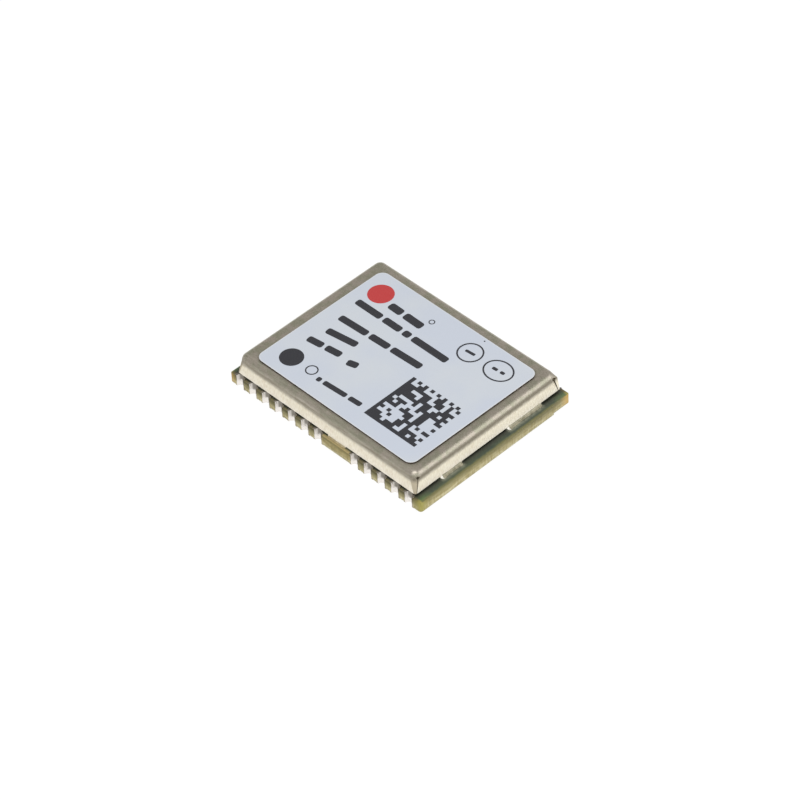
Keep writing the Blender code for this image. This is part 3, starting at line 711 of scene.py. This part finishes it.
def squareTab(shell, level):
    # The tab beyond one slit was folded over, not drawn: its corner is square below the bend.
    # The round corner's centre and radius change evenly from the hem to the bend, and the slit
    # leans, so both are worked out for each height.
    hemRadius = can["hemCorner"] * mm
    bendStart = canTop - can["bendRadius"] * mm
    slitTop = bendHalf[1] - can["slitTopInset"] * mm
    slitHem = canBox[1].y - can["slitHemInset"] * mm
    groups = [shell.vertex_groups.new(name=axis) for axis in ("X", "Y")]
    most = can["tabStep"] * mm
    for v in shell.data.vertices:
        up = min((v.co.z - solderLevel) / (bendStart - solderLevel), 1.0)
        radius = hemRadius + (can["cornerRadius"] * mm - hemRadius) * up
        flare = can["flare"] * mm * (1 - up)
        out = Vector([v.co[i] - (bendHalf[i] + flare - radius) for i in (0, 1)])
        slitHere = slitHem + (slitTop - slitHem) * min((v.co.z - solderLevel)
                                                       / (level - solderLevel), 1.0)
        if min(out) <= 0 or v.co.y < slitHere:
            continue
        share = min(1.0, max(0.0, 1 - (v.co.z - level) / (can["tabFade"] * mm)))
        grow = (out.length / max(out) - 1) * share
        for i, group in enumerate(groups):
            group.add([v.index], grow * out[i] / most, "REPLACE")
    for group in groups:
        applyModifier(shell, "DISPLACE", direction=group.name, strength=most, mid_level=0.0,
                      vertex_group=group.name)
    shell.vertex_groups.clear()


def makeCan():
    radius = can["cornerRadius"] * mm
    sheet = can["sheet"] * mm
    bend = can["bendRadius"] * mm
    outer = canSkin("shieldCan", 0.0, radius, can["hemCorner"] * mm, bend)
    inner = canSkin("canInside", sheet, radius - sheet, can["innerHemCorner"] * mm, bend - sheet)
    openEdit(inner, "FACE", lambda face: True)
    bpy.ops.mesh.flip_normals()
    closeEdit()
    shell = joinPieces("shieldCan", [outer, inner])
    openEdit(shell, "EDGE", lambda a, b: max(a.z, b.z) < solderLevel + slack)
    bpy.ops.mesh.bridge_edge_loops()
    closeEdit()
    paint(shell, steel, steelEdge)

    # how far the cutters stand out beyond the walls
    reach = 0.4 * mm
    wallBottom = solderLevel + can["windowHeight"] * mm
    low = solderLevel - reach
    x = canBox[1].x
    y = canBox[1].y
    windows = addCube("windows", (-x - reach, -y - reach, low), (x + reach, y + reach, wallBottom))
    paint(windows, steelEdge)
    near, far = [v * mm for v in can["sideFoot"]]
    feet = [(near, side * y, far, side * y) for side in (-1, 1)]
    feet += [(side * x, a * mm, side * x, b * mm) for side in (-1, 1) for a, b in can["endFeet"]]
    for x0, y0, x1, y1 in feet:
        padX = 0.0 if x0 != x1 else 2 * reach
        padY = 0.0 if y0 != y1 else 2 * reach
        bite = addCube("foot", (x0 - padX, y0 - padY, low - reach),
                       (x1 + padX, y1 + padY, wallBottom + reach))
        paint(bite, steelEdge)
        cutAway(windows, bite)
    cutAway(shell, windows)

    level = canTop - bend + can["reliefRise"] * mm
    half = can["slitWidth"] * mm / 2
    inward = bendHalf[0] - sheet - 2 * half
    for sideX in (-1, 1):
        for sideY in (-1, 1):
            slitTop = sideY * (bendHalf[1] - can["slitTopInset"] * mm)
            slitHem = sideY * (y - can["slitHemInset"] * mm)
            span = sorted((sideX * inward, sideX * (x + reach)))
            slit = addCube("slit", (span[0], slitTop - half, solderLevel),
                           (span[1], slitTop + half, level))
            openEdit(slit, "VERT", lambda v: v.co.z < solderLevel + slack)
            bpy.ops.transform.translate(value=(0, slitHem - slitTop, 0))
            closeEdit()
            paint(slit, steelEdge)
            cutAway(shell, slit)
            deselect()
            bpy.ops.mesh.primitive_cylinder_add(
                vertices=32, radius=can["reliefRadius"] * mm, depth=span[1] - span[0],
                location=(sum(span) / 2, slitTop, level), rotation=(0, pi / 2, 0))
            bpy.ops.object.transform_apply(location=True, rotation=True, scale=True)
            hole = bpy.context.object
            paint(hole, steelEdge)
            cutAway(shell, hole)
    squareTab(shell, level)
    smooth(shell, 40)
    weighNormals(shell)
    finishPiece(shell, "can", "shield_can")


makeCan()
print("shield can folded and cut")


# Board: top and bottom are masked, the sides are cut laminate

board = {"edgeRound": 0.03}


def makeBoard():
    piece = copyNode("circuit_board", "boardBlank")
    applyModifier(piece, "BEVEL", width=board["edgeRound"] * mm, segments=2,
                  limit_method="ANGLE", angle_limit=radians(60))
    paint(piece, mask, laminate)
    for face in piece.data.polygons:
        face.material_index = 0 if abs(face.normal.z) > 0.3 else 1
    smooth(piece, 30)
    finishPiece(piece, "laminate", "circuit_board")


makeBoard()

terminal = {"edgeRound": 0.012}
for name in sorted(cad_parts):
    if name.startswith("terminal_"):
        piece = copyNode(name, name.replace("terminal_", "halfHole"))
        applyModifier(piece, "BEVEL", width=terminal["edgeRound"] * mm, segments=2,
                      limit_method="ANGLE", angle_limit=radians(50))
        paint(piece, tin)
        smooth(piece, 50)
        finishPiece(piece, "plating", name)

bead = {"edgeRound": 0.025}
for name in sorted(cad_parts):
    if name.startswith("solder_fillet_"):
        piece = copyNode(name, name.replace("solder_fillet_", "solderBead"))
        # the surface tension of the melt rounds every edge
        applyModifier(piece, "BEVEL", width=bead["edgeRound"] * mm, segments=3,
                      limit_method="ANGLE", angle_limit=radians(30))
        size = piece.dimensions
        paint(piece, solder if size.y > size.x else fluxedSolder)
        smooth(piece, 60)
        finishPiece(piece, "solder", name)
print("board, terminals and solder finished")


# Label: a film a little thinner than its node, with the print as its own thin skins on top

def makeLabel():
    x = label["halfLength"] * mm
    y = label["halfWidth"] * mm
    piece = addCube("labelFilm", (labelCentre.x - x, labelCentre.y - y, labelBox[0].z),
                    (labelCentre.x + x, labelCentre.y + y, filmTop))
    openEdit(piece, "EDGE", lambda a, b: abs(a.z - b.z) > slack)
    bpy.ops.mesh.bevel(offset=label["cornerRadius"] * mm, segments=label["cornerSteps"],
                       affect="EDGES")
    closeEdit()
    openEdit(piece, "EDGE", lambda a, b: min(a.z, b.z) > filmTop - slack)
    bpy.ops.mesh.bevel(offset=label["edgeRound"] * mm, segments=2, affect="EDGES")
    closeEdit()
    openEdit(piece, "VERT", lambda v: True)
    bpy.ops.transform.rotate(value=-radians(label["turn"]), orient_axis="Z",
                             center_override=tuple(labelCentre))
    closeEdit()
    paint(piece, film, filmEdge)
    for face in piece.data.polygons:
        face.material_index = 0 if face.normal.z > 0.3 else 1
    smooth(piece, 40)
    weighNormals(piece)
    finishPiece(piece, "label", "label")


makeLabel()

printed = {
    "pinDot": (-4.76, -3.89, 0.74), "redDot": (-4.84, 3.46, 0.82),
    "ring": (2.57, 3.46, 0.82), "oval": (4.83, 3.48, 1.0, 0.85), "line": 0.1,
    "smallRings": ((-0.91, 3.79, 0.2, 0.06), (-3.11, -3.84, 0.4, 0.08)),
    "speck": (2.5, 4.72, 0.05),
    # rows of dashes: the start and end of each row, its dash height, and the dash lengths
    "rows": (
        ((-3.76, 3.15), (-1.03, 3.09), 0.56, (1.0, 1.4)),
        ((-5.44, 2.06), (2.08, 2.04), 0.5, (1.9, 1.3, 0.5, 2.6)),
        ((-5.17, 0.41), (1.34, 0.65), 0.5, (2.2, 1.5, 2.3)),
        ((-4.92, -0.89), (-2.71, -0.58), 0.5, (2.2,)),
        ((-5.24, -2.12), (-2.78, -1.81), 0.5, (1.1, 1.1)),
        ((-2.1, -1.98), (-1.39, -1.78), 0.5, (0.7,)),
        ((-2.4, -4.1), (1.06, -3.92), 0.36, (0.3, 1.7, 0.9)),
    ),
    "dashGap": 0.22, "dashRound": 0.3,
    # the bars in the two round marks: half their row, its rise, their height and their lengths
    "ringBars": (0.35, 0.03, 0.2, (1.0,)), "ovalBars": (0.45, 0.03, 0.22, (1.0, 0.8)),
    "codeLow": (1.62, -4.24), "codeHigh": (5.70, -0.21), "codeCells": 16, "codeSeed": 7,
}


def inkBlock(name, low, high):
    return addCube(name, (*low, inkFloor), (*high, inkTop))


def inkDisc(name, x, y, radius, radiusY=None):
    depth = inkTop - inkFloor
    disc = addDisc(name, (x * mm, y * mm, inkTop - depth / 2), radius * mm, depth)
    if radiusY:
        openEdit(disc, "VERT", lambda v: True)
        bpy.ops.transform.resize(value=(1, radiusY / radius, 1),
                                 center_override=(x * mm, y * mm, inkTop))
        closeEdit()
    return disc


def inkRing(name, x, y, radius, line, radiusY=None):
    ring = inkDisc(name, x, y, radius, radiusY)
    openEdit(ring, "FACE", lambda face: abs(face.normal.z) > 0.9)
    bpy.ops.mesh.inset(thickness=line * mm, depth=0)
    bpy.ops.mesh.bridge_edge_loops()
    closeEdit()
    return ring


def inkRow(start, end, height, lengths):
    # dashes that fill a row from its start to its end, all on the row's own slope
    a = Vector((*start, 0)) * mm
    b = Vector((*end, 0)) * mm
    gap = printed["dashGap"] * mm
    room = (b - a).length - gap * (len(lengths) - 1)
    stretch = room / sum(lengths)
    dashes = []
    at = 0.0
    for length in lengths:
        size = length * stretch
        low = (a.x + at, a.y - height * mm / 2)
        high = (a.x + at + size, a.y + height * mm / 2)
        dash = inkBlock("dash", low, high)
        openEdit(dash, "EDGE", lambda p, q: abs(p.z - q.z) > slack)
        bpy.ops.mesh.bevel(offset=height * mm * printed["dashRound"], segments=4, affect="EDGES")
        closeEdit()
        dashes.append(dash)
        at += size + gap
    row = joinPieces("row", dashes)
    openEdit(row, "VERT", lambda v: True)
    slope = (b - a).to_2d().angle_signed(Vector((1, 0)))
    bpy.ops.transform.rotate(value=-slope, orient_axis="Z", center_override=tuple(a))
    closeEdit()
    return row


def inkBars(x, y, half, rise, height, lengths):
    return inkRow((x - half, y - rise), (x + half, y + rise), height, lengths)


def inkCode():
    # a square of cells: two solid sides, two dotted ones, and a random filling that says nothing
    count = printed["codeCells"]
    x0, y0 = printed["codeLow"]
    x1, y1 = printed["codeHigh"]
    draw = random.Random(printed["codeSeed"])
    filled = set()
    for column in range(count):
        for row in range(count):
            if column == 0 or row == 0:
                dark = True
            elif column == count - 1:
                dark = row % 2 == 0
            elif row == count - 1:
                dark = column % 2 == 0
            else:
                dark = draw.random() < 0.5
            if dark:
                filled.add((column, row))
    deselect()
    bpy.ops.mesh.primitive_grid_add(x_subdivisions=count, y_subdivisions=count, size=1,
                                    location=(0, 0, 0))
    code = bpy.context.object

    def pale(face):
        cell = (int((face.center.x + 0.5) * count), int((face.center.y + 0.5) * count))
        return cell not in filled

    openEdit(code, "FACE", pale)
    bpy.ops.mesh.delete(type="FACE")
    bpy.ops.mesh.select_all(action="SELECT")
    bpy.ops.mesh.extrude_region_move(TRANSFORM_OT_translate={"value": (0, 0, 1)})
    closeEdit()
    code.scale = ((x1 - x0) * mm, (y1 - y0) * mm, inkTop - inkFloor)
    code.location = ((x0 + x1) / 2 * mm, (y0 + y1) / 2 * mm, inkFloor)
    deselect()
    code.select_set(True)
    bpy.ops.object.transform_apply(location=True, rotation=True, scale=True)
    openEdit(code, "FACE", lambda face: True)
    bpy.ops.mesh.normals_make_consistent(inside=False)
    closeEdit()
    return code


def makePrint():
    line = printed["line"]
    marks = [inkDisc("pinDot", *printed["pinDot"])]
    x, y, radius = printed["ring"]
    marks.append(inkRing("ring", x, y, radius, line))
    marks.append(inkBars(x, y, *printed["ringBars"]))
    x, y, radius, radiusY = printed["oval"]
    marks.append(inkRing("oval", x, y, radius, line, radiusY))
    marks.append(inkBars(x, y, *printed["ovalBars"]))
    for x, y, radius, thin in printed["smallRings"]:
        marks.append(inkRing("smallRing", x, y, radius, thin))
    for row in printed["rows"]:
        marks.append(inkRow(*row))
    marks.append(inkDisc("speck", *printed["speck"]))
    marks.append(inkCode())
    dark = joinPieces("labelPrint", marks)
    paint(dark, ink)
    finishPiece(dark, "label")
    red = inkDisc("labelRedDot", *printed["redDot"])
    paint(red, redInk)
    finishPiece(red, "label")


makePrint()
print("label and print laid on")


# Circuit under the can

innerFinishes = {
    "receiver": epoxy, "voltage": epoxy, "amplifier": epoxy, "crystal": lid, "filter": lid,
    "inductor": ferrite, "capacitor": capacitorBody, "resistor": resistorBody,
}
for name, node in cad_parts.items():
    for word, finish in innerFinishes.items():
        if word in name:
            paint(node, finish)
print("circuit painted")


# Floor, light and camera

studio = {
    "floorSize": 3.0, "floorGap": 0.01, "floor": "#f4f4f4", "floorGlow": 1.12, "glowShare": 0.75,
    "world": "#c9c7c4", "worldStrength": 1.0,
    "keyPlace": (130, -145, 235), "keySize": (170, 170), "keyPower": 0.42,
    "bandPlace": (239, 149, 103), "bandSize": (240, 240), "bandPower": 0.21,
    "cameraPlace": (110.999, -101.584, 144.490), "cameraAim": (1.484, -1.266, 1.2),
    "cameraRoll": -3.08, "lens": 160.82,
}


def makeFloor():
    deselect()
    bpy.ops.mesh.primitive_plane_add(size=studio["floorSize"], location=(0, 0, -studio["floorGap"] * mm))
    floor = bpy.context.object
    floor.name = "studioFloor"
    material, shader, _ = startMaterial("White studio paper", studio["floor"], 0.9)
    path = addNode(material, "ShaderNodeLightPath").outputs
    seen = maths(material, "MAXIMUM", path["Is Camera Ray"], path["Is Glossy Ray"])
    share = maths(material, "MULTIPLY", seen, studio["glowShare"])
    glow = addNode(material, "ShaderNodeEmission", {"Strength": studio["floorGlow"]}).outputs[0]
    both = addNode(material, "ShaderNodeMixShader", {
        0: share, 1: shader.outputs[0], 2: glow}).outputs[0]
    tree = material.node_tree
    tree.links.new(both, tree.nodes["Material Output"].inputs["Surface"])
    paint(floor, material)


def makeWorld():
    world = bpy.data.worlds.new("studioWorld")
    bpy.context.scene.world = world
    world.use_nodes = True
    tree = world.node_tree
    background = tree.nodes["Background"]
    background.inputs["Color"].default_value = linear(studio["world"])
    background.inputs["Strength"].default_value = studio["worldStrength"]
    path = addNode(world, "ShaderNodeLightPath").outputs
    white = addNode(world, "ShaderNodeBackground", {"Color": "#ffffff"}).outputs[0]
    both = addNode(world, "ShaderNodeMixShader", {
        0: path["Is Camera Ray"], 1: background.outputs[0], 2: white}).outputs[0]
    tree.links.new(both, tree.nodes["World Output"].inputs["Surface"])


def addLamp(name, place, size, power, aim=(0, 0, 0)):
    where = Vector(place) * mm
    deselect()
    bpy.ops.object.light_add(type="AREA", location=where)
    lamp = bpy.context.object
    lamp.name = name
    lamp.rotation_euler = (Vector(aim) * mm - where).to_track_quat("-Z", "Y").to_euler()
    lamp.data.shape = "RECTANGLE"
    lamp.data.size = size[0] * mm
    lamp.data.size_y = size[1] * mm
    lamp.data.energy = power


def makeCamera():
    place = Vector(studio["cameraPlace"]) * mm
    aim = Vector(studio["cameraAim"]) * mm
    deselect()
    bpy.ops.object.camera_add(location=place)
    camera = bpy.context.object
    turn = (aim - place).to_track_quat("-Z", "Y").to_matrix()
    roll = Matrix.Rotation(radians(studio["cameraRoll"]), 3, "Z")
    camera.rotation_euler = (turn @ roll).to_euler()
    camera.data.sensor_width = 36
    camera.data.lens = studio["lens"]
    camera.data.clip_start = mm
    bpy.context.scene.camera = camera


makeFloor()
makeWorld()
addLamp("keyLamp", studio["keyPlace"], studio["keySize"], studio["keyPower"])
addLamp("bandLamp", studio["bandPlace"], studio["bandSize"], studio["bandPower"])
makeCamera()
bpy.context.scene.view_settings.view_transform = "Standard"
print("studio set up")
